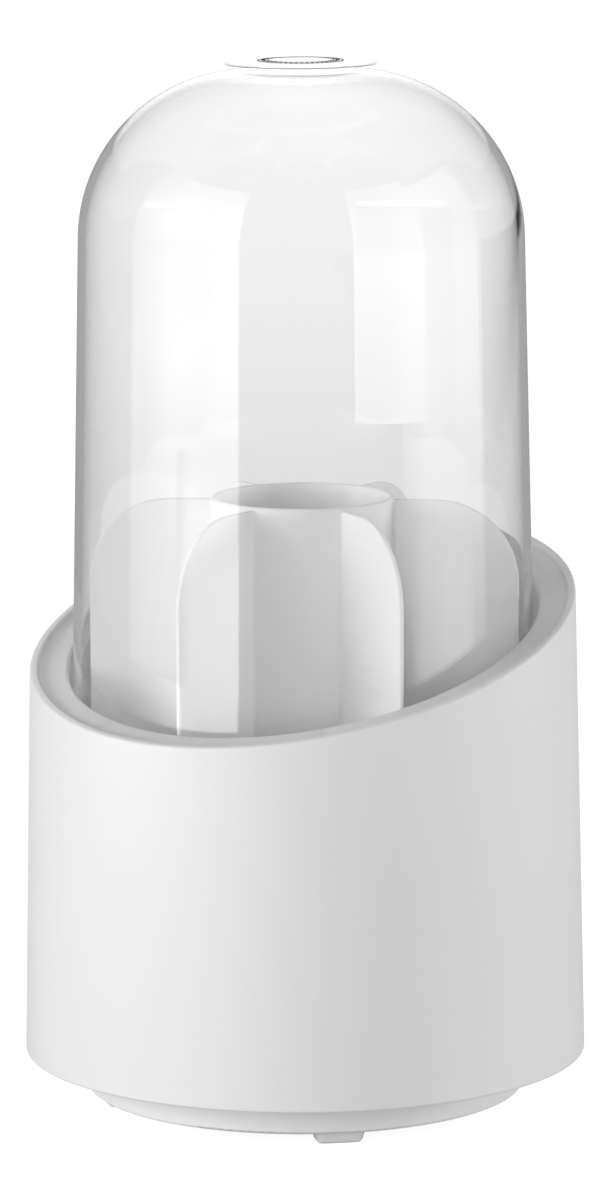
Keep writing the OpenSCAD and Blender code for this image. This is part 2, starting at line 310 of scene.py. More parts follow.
def moulding_group():
    """Shared effect: the faint orange peel and tone drift of a moulded surface."""
    group = bpy.data.node_groups.new("moulded_surface", "ShaderNodeTree")
    face = group.interface
    starts = (("Grain Scale", GRAIN_SCALE), ("Grain Strength", 0.1), ("Gloss", 0.4), ("Gloss Drift", 0.05))
    for label, start in starts:
        face.new_socket(label, in_out="INPUT", socket_type="NodeSocketFloat").default_value = start
    colour = face.new_socket("Colour", in_out="INPUT", socket_type="NodeSocketColor")
    colour.default_value = (0.8, 0.8, 0.8, 1)
    face.new_socket("Colour", in_out="OUTPUT", socket_type="NodeSocketColor")
    face.new_socket("Roughness", in_out="OUTPUT", socket_type="NodeSocketFloat")
    face.new_socket("Normal", in_out="OUTPUT", socket_type="NodeSocketVector")

    inside = group.nodes.new("NodeGroupInput").outputs
    outside = group.nodes.new("NodeGroupOutput").inputs
    drift = noise(group, 18)
    bump = group.nodes.new("ShaderNodeBump")
    bump.inputs["Distance"].default_value = 0.00002
    tint = group.nodes.new("ShaderNodeVectorMath")
    tint.operation = "SCALE"
    centred = math_node(group, "SUBTRACT", drift, 0.5)
    gloss_shift = math_node(group, "MULTIPLY", centred, inside["Gloss Drift"])

    link = group.links.new
    link(inside["Colour"], tint.inputs[0])
    link(map_range(group, drift, 0.0, 1.0, 0.985, 1.015), tint.inputs["Scale"])
    link(inside["Grain Strength"], bump.inputs["Strength"])
    link(noise(group, inside["Grain Scale"], detail=3), bump.inputs["Height"])
    link(tint.outputs["Vector"], outside["Colour"])
    link(math_node(group, "ADD", gloss_shift, inside["Gloss"]), outside["Roughness"])
    link(bump.outputs["Normal"], outside["Normal"])
    return group


MOULDING = moulding_group()


def moulded(name, colour, gloss, grain_strength=0.12, grain_scale=GRAIN_SCALE, scatter=0.0):
    """Moulded plastic: colour, roughness and surface grain come from the shared group."""
    material, tree, shader = new_material(name)
    surface = tree.nodes.new("ShaderNodeGroup")
    surface.node_tree = MOULDING
    surface.inputs["Colour"].default_value = (*colour, 1)
    surface.inputs["Gloss"].default_value = gloss
    surface.inputs["Gloss Drift"].default_value = 0.06
    surface.inputs["Grain Scale"].default_value = grain_scale
    surface.inputs["Grain Strength"].default_value = grain_strength
    link = tree.links.new
    link(surface.outputs["Colour"], shader.inputs["Base Color"])
    link(surface.outputs["Roughness"], shader.inputs["Roughness"])
    link(surface.outputs["Normal"], shader.inputs["Normal"])
    shader.inputs["IOR"].default_value = PLASTIC_IOR
    shader.inputs["Subsurface Weight"].default_value = scatter
    shader.inputs["Subsurface Radius"].default_value = (1, 1, 1)
    shader.inputs["Subsurface Scale"].default_value = 0.004
    return material


def clear_plastic():
    """Polished clear plastic, a little greyer towards its lower edge; lamps shine straight through it."""
    material, tree, shader = new_material("clear_polystyrene")
    tint = tree.nodes.new("ShaderNodeMix")
    tint.data_type = "RGBA"
    tint.inputs["A"].default_value = (0.90, 0.90, 0.903, 1)
    tint.inputs["B"].default_value = (0.985, 0.985, 0.987, 1)
    link = tree.links.new
    link(map_range(tree, object_z(tree), TINT_Z[0] * MM, TINT_Z[1] * MM), tint.inputs["Factor"])
    link(tint.outputs["Result"], shader.inputs["Base Color"])
    shader.inputs["Transmission Weight"].default_value = 1.0
    shader.inputs["Roughness"].default_value = 0.0
    shader.inputs["IOR"].default_value = PLASTIC_IOR
    path = tree.nodes.new("ShaderNodeLightPath")
    through = tree.nodes.new("ShaderNodeBsdfTransparent")
    through.inputs["Color"].default_value = (0.985, 0.985, 0.985, 1)
    pick = tree.nodes.new("ShaderNodeMixShader")
    link(path.outputs["Is Shadow Ray"], pick.inputs[0])
    link(shader.outputs["BSDF"], pick.inputs[1])
    link(through.outputs["BSDF"], pick.inputs[2])
    link(pick.outputs["Shader"], tree.nodes["Material Output"].inputs["Surface"])
    return material


def clear_with_painted_edge(name, line_z, line_half):
    """Nearly invisible clear plastic, with a dark line painted along the near side of its upper edge: painted
    shade, as a clear edge shows it.
    """
    darkest, veil = 0.85, 0.02       # how solid the line is at most, and the rest of the piece
    fade, bend = 4.2, 1.5            # the line fades where its edge turns out of sight
    material, tree, shader = new_material(name)
    # Painted shade: a dark band at the edge's height, on the near side only, fading as the edge turns away.
    off_line = math_node(tree, "ABSOLUTE", math_node(tree, "SUBTRACT", object_z(tree), line_z * MM), 0.0)
    on_line = math_node(tree, "LESS_THAN", off_line, line_half * MM)
    turned_away = tree.nodes.new("ShaderNodeNewGeometry").outputs["Backfacing"]
    near_side = math_node(tree, "SUBTRACT", 1.0, turned_away)
    grazing = tree.nodes.new("ShaderNodeLayerWeight").outputs["Facing"]
    front = math_node(tree, "MULTIPLY", math_node(tree, "SUBTRACT", 1.0, grazing), fade)
    front = math_node(tree, "MINIMUM", math_node(tree, "POWER", front, bend), 1.0)
    line = math_node(tree, "MULTIPLY", math_node(tree, "MULTIPLY", on_line, near_side),
                     math_node(tree, "MULTIPLY", front, darkest))
    tree.links.new(math_node(tree, "ADD", line, veil), shader.inputs["Alpha"])
    shader.inputs["Base Color"].default_value = (0.12, 0.12, 0.125, 1)
    shader.inputs["Roughness"].default_value = 0.4
    return material


def steel(name, colour, gloss):
    """Bright plated steel with faint handling marks."""
    material, tree, shader = new_material(name)
    marks = noise(tree, 700)
    tree.links.new(map_range(tree, marks, 0.0, 1.0, gloss - 0.06, gloss + 0.08), shader.inputs["Roughness"])
    shader.inputs["Base Color"].default_value = (*colour, 1)
    shader.inputs["Metallic"].default_value = 1.0
    return material


SHELL_WHITE = moulded("shell_satin_white", (0.785, 0.785, 0.79), 0.42)
LINER_WHITE = moulded("liner_satin_white", (0.88, 0.88, 0.885), 0.45)
# Painted shade: the liner's white made darker, for the ledge's upward faces and the cove.
LEDGE_SHADE_WHITE = moulded("ledge_painted_shade_white", (0.745, 0.745, 0.75), 0.45)
DIVIDER_WHITE = moulded("divider_white", (0.93, 0.93, 0.932), 0.34, scatter=0.5)
FOOT_WHITE = moulded("foot_white", (0.80, 0.80, 0.805), 0.45)
CAGE_PLASTIC = moulded("cage_acetal", (0.70, 0.71, 0.72), 0.5)
PAD_RUBBER = moulded("pad_rubber", (0.76, 0.76, 0.76), 0.75, grain_strength=0.3, grain_scale=1600)
DOME_CLEAR = clear_plastic()
# The crown's nearly clear disc, with painted shade along its upper edge.
CROWN_PAINTED_EDGE = clear_with_painted_edge("crown_painted_edge", CROWN_SHADE_LINE_Z, CROWN_SHADE_LINE_HALF)
BRIGHT_STEEL = steel("bright_zinc", (0.74, 0.74, 0.75), 0.24)
MARK_INK = moulded("mark_ink", (0.03, 0.03, 0.032), 0.5)


# ---------------------------------------------------------------- pieces

def make_shell():
    """The tub's outer shell: a drafted double wall, cut on the slant, with rounded edges."""
    foot_round = 0.8
    z = SHELL_Z + foot_round
    outline = [(shell_r(z) - SHELL_WALL, z), (shell_r(z) - SHELL_WALL, SHELL_Z)]
    outline += arc(shell_r(z) - foot_round, z, foot_round, -90, 0, 5)
    outline += [(shell_r(ABOVE_RIM_Z), ABOVE_RIM_Z), (shell_r(ABOVE_RIM_Z) - SHELL_WALL, ABOVE_RIM_Z)]
    outline += [outline[0]]
    shell = turned("tub_shell", outline)
    cut_slanted(shell, 0.0)
    round_edges(shell, width=0.5, steps=3, wanted=lambda e: sharp(e) and on_plane(e, 0.0))
    smooth(shell)
    finish_piece(shell, SHELL_WHITE, "shell", "satin_white", "outer_shell")


def make_well():
    """The stepped well as a turned double wall, cut off at the ledge."""
    floor_t = 2.0
    under = WELL_FLOOR_Z - floor_t
    well = turned("well_and_ledge", [
        (0, WELL_FLOOR_Z), (LOWER_WELL_R, WELL_FLOOR_Z), (LOWER_WELL_R, STEP_Z), (WELL_R, STEP_Z),
        (WELL_R, ABOVE_RIM_Z), (WELL_R + LINER_WALL, ABOVE_RIM_Z), (WELL_R + LINER_WALL, STEP_Z - LINER_WALL),
        (LOWER_WELL_R + LINER_WALL, STEP_Z - LINER_WALL), (LOWER_WELL_R + LINER_WALL, under), (0, under),
    ])
    cut_slanted(well, LEDGE_DROP)
    return well


def make_ledge():
    """The slanted ledge inside the rim: a slice of a turned block that fills the room beside the well."""
    low, gap = 60.0, 0.05
    inner = WELL_R + LINER_WALL / 2
    ledge = turned("ledge", [
        (inner, low), (shell_r(low) - SHELL_WALL - gap, low),
        (shell_r(ABOVE_RIM_Z) - SHELL_WALL - gap, ABOVE_RIM_Z), (inner, ABOVE_RIM_Z), (inner, low),
    ])
    cut_slanted(ledge, LEDGE_DROP)
    cut_slanted(ledge, LEDGE_DROP + LEDGE_T, keep_below=False)
    return ledge


def make_liner():
    """The liner: the well and the ledge in one piece, with a rounded lip; the ledge's upward faces take a
    darker copy of the liner's white, which is painted shade.
    """
    lip_reach = WELL_R + 0.5

    def on_lip(edge):
        at_well = all(v.co.xy.length < lip_reach * MM for v in edge.verts)
        return at_well and on_plane(edge, LEDGE_DROP) and sharp(edge)

    liner = make_well()
    join_solid(liner, make_ledge())
    round_edges(liner, width=0.8, steps=4, wanted=on_lip)
    smooth(liner)
    finish_piece(liner, LINER_WHITE, "shell", "liner_white", "well_liner")
    liner.data.materials.append(LEDGE_SHADE_WHITE)
    # The ledge's upward faces take the darker white: painted shade.
    ledge_from, level_enough = WELL_R + 0.3, 0.5
    for face in liner.data.polygons:
        if face.center.xy.length > ledge_from * MM and face.normal.z > level_enough:
            face.material_index = 1


def make_cove():
    """The hollow fillet between ledge and shell, turned level, slanted with the rim and set to the draft."""
    wall = shell_r(RIM_Z) - SHELL_WALL
    width, rise, into_shell, under = 2.8, 1.0, 0.6, 0.8
    level = -LEDGE_DROP / math.cos(RIM_SLOPE) - EPS
    hollow = [(wall - width + width * math.sin(t), level + rise - rise * math.cos(t))
              for t in [math.pi / 2 * i / 10 for i in range(11)]]
    outline = hollow + [(wall + into_shell, level + rise), (wall + into_shell, level - under),
                        (wall - width, level - under), hollow[0]]
    cove = turned("rim_cove", outline)
    slant = Matrix.Identity(4)
    slant[2][1] = math.tan(RIM_SLOPE)
    set_over = math.tan(SHELL_DRAFT) * math.tan(RIM_SLOPE) * wall
    height = RIM_Z - set_over * math.tan(RIM_SLOPE)
    cove.data.transform(slant)
    cove.data.transform(Matrix.Translation((0, -set_over * MM, height * MM)))
    smooth(cove)
    # The cove takes the ledge's darker white: painted shade.
    finish_piece(cove, LEDGE_SHADE_WHITE, "shell", "liner_white")


def fin_outline():
    """Outline of one fin: up from the base, round its outer top corner and back to the tube."""
    top = TUBE_TOP_Z - FIN_DROP
    inner = TUBE_R - FIN_T / 2
    corner = arc(FIN_R - FIN_CORNER_R, top - FIN_CORNER_R, FIN_CORNER_R, 0, 90, 24)
    return [(inner, FIN_FOOT_Z), (FIN_R, FIN_FOOT_Z)] + corner + [(inner, top)]


def fin_turn(index):
    """The turn that takes a fin from +x to its own place."""
    return Matrix.Rotation(DIVIDER_TURN + index * 2 * math.pi / FIN_COUNT, 4, "Z")


def make_fin(index):
    """One fin, drawn as its outline, filled, thickened and rounded along its free edges."""
    def along_outline(edge):
        return sharp(edge, 60) and abs(edge.verts[0].co.y - edge.verts[1].co.y) < EPS * MM

    fin = chain(f"fin_{index}", fin_outline())
    pull_out((0, FIN_T * MM, 0))
    bpy.ops.mesh.select_all(action="SELECT")
    bpy.ops.transform.translate(value=(0, -FIN_T / 2 * MM, 0))
    close_up()
    done()
    round_edges(fin, width=0.45, steps=3, wanted=along_outline)
    fin.data.transform(fin_turn(index))
    return fin


def make_root(index):
    """The hollow fillets where a fin meets the tube: their plan outline, filled and pulled up."""
    radius, half, inner, stop_short = 1.0, FIN_T / 2 - EPS, TUBE_R - 0.6, 0.4
    top = TUBE_TOP_Z - FIN_DROP - stop_short
    centre = math.sqrt((TUBE_R + radius) ** 2 - (half + radius) ** 2)
    touch = 180 + math.degrees(math.atan2(half + radius, centre))
    side = arc(centre, half + radius, radius, 270, touch, 8)
    plan = side + [(inner, side[-1][1]), (inner, -side[-1][1])] + [(x, -y) for x, y in side[::-1]]
    root = chain(f"root_{index}", plan, lambda x, y: Vector((x * MM, y * MM, FIN_FOOT_Z * MM)))
    pull_out((0, 0, (top - FIN_FOOT_Z) * MM))
    close_up()
    done()
    root.data.transform(fin_turn(index))
    return root


def make_divider():
    """The lift-out divider: a base disc and a middle tube in one turned piece, with the fins joined on."""
    chamfer, fillet, lip = 0.4, 1.0, FIN_T / 2
    base_top = DIVIDER_BASE_Z + DIVIDER_BASE_T
    inner = TUBE_R - FIN_T
    outline = [(0, DIVIDER_BASE_Z), (FIN_R - chamfer, DIVIDER_BASE_Z), (FIN_R, DIVIDER_BASE_Z + chamfer)]
    outline += [(FIN_R, base_top - chamfer), (FIN_R - chamfer, base_top)]
    outline += [(TUBE_R + fillet, base_top), (TUBE_R, base_top + fillet)]
    outline += arc(TUBE_R - lip, TUBE_TOP_Z - lip, lip, 0, 180, 8)
    outline += [(inner, base_top + fillet), (inner - fillet, base_top), (0, base_top)]
    divider = turned("divider", outline, steps=144)
    for index in range(FIN_COUNT):
        join_solid(divider, make_fin(index))
        join_solid(divider, make_root(index))
    smooth(divider)
    finish_piece(divider, DIVIDER_WHITE, "insert", "divider_white", "divider_insert")


def dome_skin(inset, bottom):
    """Half outline of the dome's drafted wall and shoulder, from its lower edge to the shoulder's top."""
    centre_r = DOME_R - SHOULDER_R * math.cos(DOME_DRAFT)
    centre_z = SHOULDER_Z - SHOULDER_R * math.sin(DOME_DRAFT)
    radius = SHOULDER_R - inset
    curve = arc(centre_r, centre_z, radius, math.degrees(DOME_DRAFT), 90, 40)
    join_r, join_z = curve[0]
    wall = [(join_r + (join_z - z) * math.tan(DOME_DRAFT), z)
            for z in [bottom + (join_z - bottom) * i / 12 for i in range(12)]]
    return wall + curve


def make_dome():
    """The clear dome: an outer and an inner skin, closed by a rounded lower edge."""
    outer = dome_skin(0.0, DOME_FOOT_Z)
    inner = dome_skin(DOME_WALL, DOME_FOOT_Z)
    foot = arc((outer[0][0] + inner[0][0]) / 2, DOME_FOOT_Z, DOME_WALL / 2, 0, -180, 8)[1:-1]
    outline = [(0, inner[-1][1])] + inner[::-1] + foot[::-1] + outer + [(0, outer[-1][1])]
    dome = turned("clear_dome", outline)
    smooth(dome, 50)
    dome.visible_diffuse = False
    finish_piece(dome, DOME_CLEAR, "dome", "clear_plastic", "dome_cover")


def crown_sphere():
    """Radius and centre height of the sphere that the crown's top belongs to, in millimetres."""
    radius = (CROWN_R ** 2 + CROWN_RISE ** 2) / (2 * CROWN_RISE)
    return radius, DOME_TOP_Z + CROWN_EDGE_H + CROWN_RISE - radius


def on_crown(r, lift=0.0):
    """A point on the crown's top, or lifted off it by so many millimetres."""
    sphere_r, sphere_z = crown_sphere()
    return r, sphere_z + math.sqrt((sphere_r + lift) ** 2 - r * r)


def make_crown():
    """The low raised disc on top of the dome."""
    fillet, sink, edge_sink, flat_r = 0.6, 0.02, 0.4, CROWN_R - 4.5
    edge_z = DOME_TOP_Z + CROWN_EDGE_H
    outline = [(0, DOME_TOP_Z - sink), (flat_r, DOME_TOP_Z - sink)]
    outline += [(CROWN_R, DOME_TOP_Z - edge_sink), (CROWN_R, edge_z - fillet)]
    outline += arc(CROWN_R - fillet, edge_z - fillet, fillet, 20, 80, 3)
    outline += [on_crown(r) for r in (CROWN_R - 1.4, CROWN_R * 0.75, CROWN_R * 0.5, CROWN_R * 0.25, 0)]
    crown = turned("crown_disc", outline, steps=128)
    smooth(crown, 50)
    crown.visible_shadow = False
    crown.visible_glossy = crown.visible_transmission = False
    # The disc's edge line is painted shade.
    finish_piece(crown, CROWN_PAINTED_EDGE, "dome", "clear_plastic")


def make_mark_line(name, inner_r, outer_r):
    """One thin raised line round the crown's top."""
    sink, rise = -0.02, 0.06
    low = [on_crown(inner_r, sink), on_crown(outer_r, sink)]
    high = [on_crown(outer_r, rise), on_crown(inner_r, rise)]
    return turned(name, low + high + low[:1], steps=96)


def make_tick(turn):
    """One short raised tick between the lines, turned to its place."""
    inner_r, outer_r, width, height, sink = 8.3, 9.3, 0.42, 0.1, -0.02
    half_proud = 0.03
    middle_z = on_crown(inner_r, sink)[1] + half_proud
    bpy.ops.object.select_all(action="DESELECT")
    bpy.ops.mesh.primitive_cube_add(size=1, location=((inner_r + outer_r) / 2 * MM, 0, middle_z * MM),
                                    scale=((outer_r - inner_r) * MM, width * MM, height * MM))
    tick = bpy.context.object
    bpy.ops.object.transform_apply(location=True, rotation=True, scale=True)
    tick.data.transform(Matrix.Rotation(turn, 4, "Z"))
    return tick


def make_crown_mark():
    """A plain printed ring on the crown: a thin outer line, a thin inner line and short ticks."""
    places, bare = 44, range(12, 21)
    parts = [make_mark_line("mark_outer_line", inner_r=9.75, outer_r=10.25),
             make_mark_line("mark_inner_line", inner_r=7.7, outer_r=7.95)]
    parts += [make_tick(index * 2 * math.pi / places) for index in range(places) if index not in bare]
    bpy.ops.object.select_all(action="DESELECT")
    for part in parts:
        part.select_set(True)
    bpy.context.view_layer.objects.active = parts[0]
    bpy.ops.object.join()
    mark = bpy.context.object
    mark.name = mark.data.name = "crown_mark"
    smooth(mark)
    mark.visible_glossy = mark.visible_transmission = False
    finish_piece(mark, MARK_INK, "dome", "clear_plastic")


def dress_node(name, material):
    """Gives a CAD node its finish."""
    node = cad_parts[name]
    node.data.materials.clear()
    node.data.materials.append(material)


def dress_turntable():
    """Finishes for the foot, its pads and the works of the turntable."""
    dress_node("turntable_foot", FOOT_WHITE)
    dress_node("floor_plate", FOOT_WHITE)
    dress_node("ball_cage", CAGE_PLASTIC)
    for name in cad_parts:
        if name.startswith("foot_pad"):
            dress_node(name, PAD_RUBBER)
        elif name.startswith("ball_") and name != "ball_cage":
            dress_node(name, BRIGHT_STEEL)
    for name in ("pivot_screw", "pivot_washer", "floor_screws"):
        dress_node(name, BRIGHT_STEEL)


make_shell()
make_liner()
make_cove()
make_divider()
make_dome()
make_crown()
make_crown_mark()
dress_turntable()


# ---------------------------------------------------------------- stage, lights and camera, in metres

FILL = 0.238                 # the world's level as light
MIRROR = 0.42                # its level as seen in gloss and in clear walls
HALF = 0.5                   # splits a count of 0 from a count of 1 or more

# Lamps: degrees to the right of the camera, spread in degrees, and level.
LAMPS = [(-80, 50, 0.52), (-65, 50, 0.43), (0, 50, 0.5), (100, 20, 0.475), (110, 20, 0.14)]
LAMP_UP = 6                  # degrees above the horizon
LAMP_OUT = 2.0

PANEL_OUT = 0.8              # the light panels stand this far from the axis
LOW_PANEL_OUT = 0.79         # and the low ones in front of them this far
FLOOR_R = 12.0
FLOOR_Z = -0.0002
FLOOR_GREY = 0.8             # how much light the floor gives back
SHADOW_REACH = (0.08, 0.4)   # from the axis: the soft shadow is full at the first and gone at the second
DARK_SIDE = (1.0, 1.3)       # to the right: mirrored rays find the floor darker from the first to the second
DARK_LEVEL = 0.05
PAINTED_POOL_RING = (0.64, 0.8)     # a painted pool of light on the floor at the panels' feet lies between these distances
PAINTED_POOL_LEVEL = 3.9            # how strongly, at most
# Round that ring: degrees to the right of the camera, and share of that level.
PAINTED_POOL_SHARES = [(-99, 0.12), (-92, 0.16), (-84, 0.32), (-76, 0.52), (-69, 0.8), (-62, 1.0), (-31.3, 1.0),
              (-31.1, 0.12), (50, 0.12), (64, 0.3), (101, 0.25), (102, 0.02)]


def round_about(distance, degrees, height):
    """A place round the object: degrees to the right of the camera, seen from above."""
    turn = VIEW_TURN + math.radians(degrees)
    return Vector((math.sin(turn) * distance, -math.cos(turn) * distance, height))


def aim(thing, target):
    """Turns a lamp so that its -Z faces the target."""
    direction = target - thing.location
    thing.rotation_mode = "QUATERNION"
    thing.rotation_quaternion = direction.to_track_quat("-Z", "Y")


def soft_sun(name, degrees, spread, level):
    """A broad, even lamp far to one side; its level is about what a white wall facing it gives back."""
    data = bpy.data.lights.new(name, "SUN")
    data.energy = level * math.pi
    data.angle = math.radians(spread)
    lamp = bpy.data.objects.new(name, data)
    bpy.context.scene.collection.objects.link(lamp)
    up = math.radians(LAMP_UP)
    lamp.location = round_about(LAMP_OUT * math.cos(up), degrees, LAMP_OUT * math.sin(up))
    aim(lamp, Vector((0, 0, 0)))
    lamp.visible_glossy = False
    lamp.visible_transmission = False


def light_path(tree, output):
    """One of the counts and marks that tell how a ray came."""
    return tree.nodes.new("ShaderNodeLightPath").outputs[output]


def not_scattered(tree):
    """1 for rays that no matt surface has scattered; else 0."""
    return math_node(tree, "LESS_THAN", light_path(tree, "Diffuse Depth"), HALF)


def seen_straight(tree):
    """1 for rays from the camera, also through clear walls, that nothing mirrored or scattered; else 0."""
    from_camera, through_wall = light_path(tree, "Is Camera Ray"), light_path(tree, "Is Transmission Ray")
    through = math_node(tree, "MAXIMUM", from_camera, through_wall)
    bounces = math_node(tree, "ADD", light_path(tree, "Glossy Depth"), light_path(tree, "Diffuse Depth"))
    return math_node(tree, "MULTIPLY", through, math_node(tree, "LESS_THAN", bounces, HALF))


def seen_mirrored(tree):
    """1 for rays that a gloss or a clear wall has mirrored and nothing has scattered; else 0."""
    mirrored = math_node(tree, "GREATER_THAN", light_path(tree, "Glossy Depth"), HALF)
    return math_node(tree, "MULTIPLY", mirrored, not_scattered(tree))


def bent_or_mirrored(tree):
    """1 for rays that a gloss has mirrored or a clear wall has bent and nothing has scattered; else 0."""
    bent = math_node(tree, "MAXIMUM", light_path(tree, "Is Transmission Ray"),
                     math_node(tree, "GREATER_THAN", light_path(tree, "Glossy Depth"), HALF))
    return math_node(tree, "MULTIPLY", bent, not_scattered(tree))


def ramp(tree, value, stops):
    """A colour ramp of greys; stops are (position, level)."""
    node = tree.nodes.new("ShaderNodeValToRGB")
    marks = node.color_ramp.elements
    while len(marks) < len(stops):
        marks.new(0.5)
    for mark, (position, level) in zip(marks, stops):
        mark.position = position
        mark.color = (level, level, level, 1)
    tree.links.new(value, node.inputs["Fac"])
    return node.outputs["Color"]


def glow_material(name, strength, across, along, near_wall_only=True):
    """A glow for mirrored rays, varying across and along the card; seen straight it is plain white."""
    material = bpy.data.materials.new(name)
    material.use_nodes = True
    tree = material.node_tree
    tree.nodes.clear()
    out = tree.nodes.new("ShaderNodeOutputMaterial")
    glow = tree.nodes.new("ShaderNodeEmission")
    place = tree.nodes.new("ShaderNodeTexCoord")
    split = tree.nodes.new("ShaderNodeSeparateXYZ")
    tree.links.new(place.outputs["UV"], split.inputs["Vector"])
    across_level = ramp(tree, split.outputs["X"], across)
    along_level = ramp(tree, split.outputs["Y"], along)
    level = math_node(tree, "MULTIPLY", across_level, along_level)
    level = math_node(tree, "MULTIPLY", level, seen_mirrored(tree))
    if near_wall_only:
        near_wall = 2.5          # rays that have passed more faces than this come from the dome's far wall
        passed = light_path(tree, "Transmission Depth")
        level = math_node(tree, "MULTIPLY", level, math_node(tree, "LESS_THAN", passed, near_wall))
    level = math_node(tree, "MAXIMUM", math_node(tree, "MULTIPLY", level, strength), seen_straight(tree))
    tree.links.new(level, glow.inputs["Strength"])
    tree.links.new(glow.outputs["Emission"], out.inputs["Surface"])
    return material


def new_card(name, columns, rows):
    """A grid that spans -1..1 both ways, to be curved into a card."""
    bpy.ops.object.select_all(action="DESELECT")
    bpy.ops.mesh.primitive_grid_add(x_subdivisions=columns, y_subdivisions=rows, size=2, location=(0, 0, 0))
    card = bpy.context.object
    card.name = card.data.name = name
    return card


def stage_card(card, material):
    """Keeps a glowing card out of everything but clear walls and reflections."""
    card.data.materials.append(material)
    card.visible_camera = False
    card.visible_diffuse = False
    card.visible_shadow = False


def side_panel(name, bearings, lows, high, strength, across, levels, out=PANEL_OUT):
    """A curved light panel; its lower edge may slant, and levels are (height, level)."""
    (start, end), (low, low_end) = bearings, lows
    card = new_card(name, 24, 1)
    for vertex in card.data.vertices:
        share = (vertex.co.x + 1) / 2
        place = round_about(out, start + (end - start) * share, 0)
        vertex.co = Vector((place.x, place.y, low + (low_end - low) * share if vertex.co.y < 0 else high))
    along = [((height - low) / (high - low), level) for height, level in levels if low <= height <= high]
    stage_card(card, glow_material(name, strength, across, along))


def sweep_panel(name, start, end, radius, half_width, strength, across, levels):
    """A glowing arch overhead in the camera's upright plane; levels are (elevation, level)."""
    narrow_from, narrow_to, narrowest = 145.0, 176.8, 0.12
    card = new_card(name, 1, 40)
    for vertex in card.data.vertices:
        angle = start + (end - start) * (vertex.co.y + 1) / 2
        up = math.radians(angle)
        width = half_width * min(1.0, max(narrowest, (narrow_to - angle) / (narrow_to - narrow_from)))
        vertex.co = Vector((vertex.co.x * width, -math.cos(up) * radius, math.sin(up) * radius))
    card.data.transform(Matrix.Rotation(VIEW_TURN, 4, "Z"))
    along = [((angle - start) / (end - start), level) for angle, level in levels]
    stage_card(card, glow_material(name, strength, across, along, near_wall_only=False))


def hang_left_panels():
    """The tall panel to the left, and a low one in front of its foot."""
    levels = [(0.0, 0.84), (0.085, 0.87), (0.115, 1.0), (0.136, 0.88), (0.15, 0.79), (0.2, 0.7), (0.3, 0.76),
              (0.45, 0.86), (0.62, 0.58), (0.76, 0.44), (0.85, 0.4)]
    low_levels = [(0.0, 0.66), (0.045, 0.67), (0.085, 0.435)]
    side_panel("strip_left", bearings=(-94.5, -31.2), lows=(0.0, 0.0), high=0.85, strength=2.95,
               across=[(0.0, 0.42), (0.45, 1.0)], levels=levels)
    side_panel("strip_left_low", bearings=(-64, -31.2), lows=(0.0, 0.0), high=0.085, strength=5.9,
               across=[(0.0, 0.5), (0.15, 0.86), (0.25, 1.0)], levels=low_levels, out=LOW_PANEL_OUT)


def hang_right_panels():
    """The tall panel to the right in its three parts, and a low one in front of its foot."""
    inner_levels = [(0.099, 0.97), (0.165, 1.0), (0.22, 0.79), (0.47, 0.69), (0.76, 0.47), (0.88, 0.46)]
    low_levels = [(0.0, 0.85), (0.08, 0.86), (0.099, 1.0)]
    outer_levels = [(0.0, 0.85), (0.08, 0.86), (0.095, 1.0), (0.107, 1.06), (0.12, 1.0), (0.14, 0.92),
                    (0.18, 0.74), (0.4, 0.62), (0.58, 0.75), (0.675, 0.7), (0.78, 0.65)]
    foot_levels = [(0.0, 1.0), (0.02, 0.84), (0.045, 0.64), (0.06, 0.57)]
    side_panel("strip_right_inner", bearings=(26, 64), lows=(0.099, 0.0933), high=0.88, strength=2.8,
               across=[(0.0, 0.74), (0.5, 0.78), (0.72, 0.92)], levels=inner_levels)
    side_panel("strip_right_low", bearings=(50, 64), lows=(0.0, 0.0), high=0.096, strength=2.0,
               across=[(0.0, 0.35), (0.3, 0.5), (0.85, 0.95)], levels=low_levels)
    side_panel("strip_right_outer", bearings=(64, 101.5), lows=(0.0, 0.0), high=0.78, strength=2.0,
               across=[(0.0, 1.0), (0.16, 0.95), (0.37, 0.85), (0.7, 0.75), (1.0, 0.64)], levels=outer_levels)
    side_panel("strip_right_foot", bearings=(55, 92), lows=(0.0, 0.0), high=0.06, strength=3.0,
               across=[(0.0, 0.5), (0.15, 0.95), (0.6, 1.0), (1.0, 0.72)], levels=foot_levels,
               out=LOW_PANEL_OUT)


def hang_arch():
    """The arch that the dome's shoulder and top mirror."""
    across = [(0.0, 0.52), (0.1, 0.58), (0.2, 0.64), (0.3, 0.73), (0.4, 0.81), (0.5, 0.96), (0.6, 0.82),
              (0.7, 0.72), (0.8, 0.56), (0.9, 0.5), (1.0, 0.5)]
    levels = [(54, 0.45), (62, 0.41), (68, 0.5), (74, 0.7), (80, 0.81), (90, 0.88), (105, 0.94), (120, 0.9),
              (135, 0.89), (145, 0.77), (152, 0.71), (160, 0.69), (168, 1.0), (175, 1.1)]
    sweep_panel("arch", start=54, end=175, radius=3.0, half_width=3.4, strength=1.6,
                across=across, levels=levels)


def make_world():
    """White where it is seen straight, dimmer in reflections, and an even fill as light."""
    world = bpy.data.worlds.new("studio")
    bpy.context.scene.world = world
    world.use_nodes = True
    tree = world.node_tree
    backdrop = tree.nodes["Background"]
    straight = math_node(tree, "MULTIPLY", seen_straight(tree), 1.0 - FILL)
    mirrored = math_node(tree, "MULTIPLY", seen_mirrored(tree), MIRROR - FILL)
    level = math_node(tree, "ADD", math_node(tree, "ADD", straight, mirrored), FILL)
    tree.links.new(level, backdrop.inputs["Strength"])
    backdrop.inputs["Color"].default_value = (1, 1, 1, 1)


def vector_node(tree, operation, place, other=(0, 0, 0)):
    """A Vector Math node that gives a number for a place; other is its second operand."""
    node = tree.nodes.new("ShaderNodeVectorMath")
    node.operation = operation
    node.inputs[1].default_value = other
    tree.links.new(place, node.inputs[0])
    return node.outputs["Value"]


